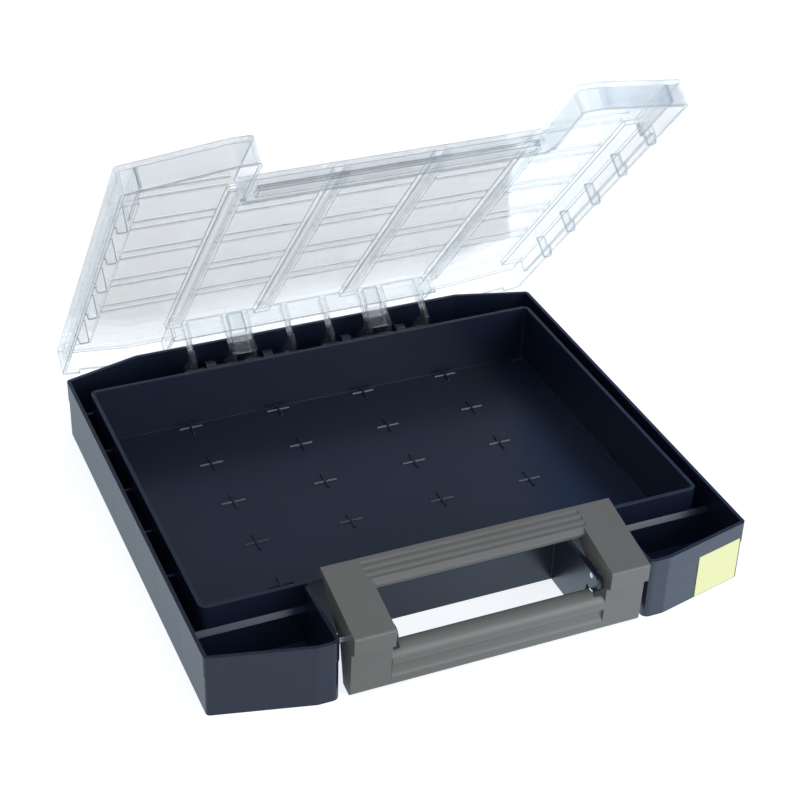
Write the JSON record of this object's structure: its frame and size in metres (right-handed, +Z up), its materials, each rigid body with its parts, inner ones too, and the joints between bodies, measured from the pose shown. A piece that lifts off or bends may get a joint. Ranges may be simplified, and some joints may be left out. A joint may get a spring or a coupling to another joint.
{
  "type": "saw blade storage case",
  "caption": "Flat plastic carrying case for circular saw blades with one open tray, a clear hinged lid and a grey frame handle that pivots at the front and locks the lid.",
  "frame": {"origin": "middle of the case's underside, on the ground", "axes": "+Z up, +X to the right seen from the front, the handle and the front face -Y, the lid's hinge is at +Y"},
  "size_m": [0.298, 0.3076, 0.25],
  "materials": {
    "case_plastic": "fine moulded, dark navy blue, slight sheen",
    "clear_plastic": "clear, polished",
    "handle_plastic": "fine moulded, warm grey",
    "steel": "drawn wire, bright",
    "dark_steel": "drawn wire, blackened",
    "label_paper": "bare pale lime label"
  },
  "bodies": {
    "case": {"case_body": "case_plastic", "handle_pin_left": "steel", "handle_pin_right": "steel", "hinge_rod_left": "dark_steel", "hinge_rod_right": "dark_steel", "front_label": "label_paper"},
    "lid": {"lid": "clear_plastic"},
    "handle": {"handle": "handle_plastic"}
  },
  "joints": [
    {"name": "lid_hinge", "type": "hinge", "parent": "case", "child": "lid", "pos_m": [0, 0.1315, 0.0245], "axis": [-1, 0, 0], "range_deg": [-49.5, 53.5]},
    {"name": "handle_pivot", "type": "hinge", "parent": "case", "child": "handle", "pos_m": [0, -0.135, 0.032], "axis": [1, 0, 0], "range_deg": [-8, 22]}
  ]
}
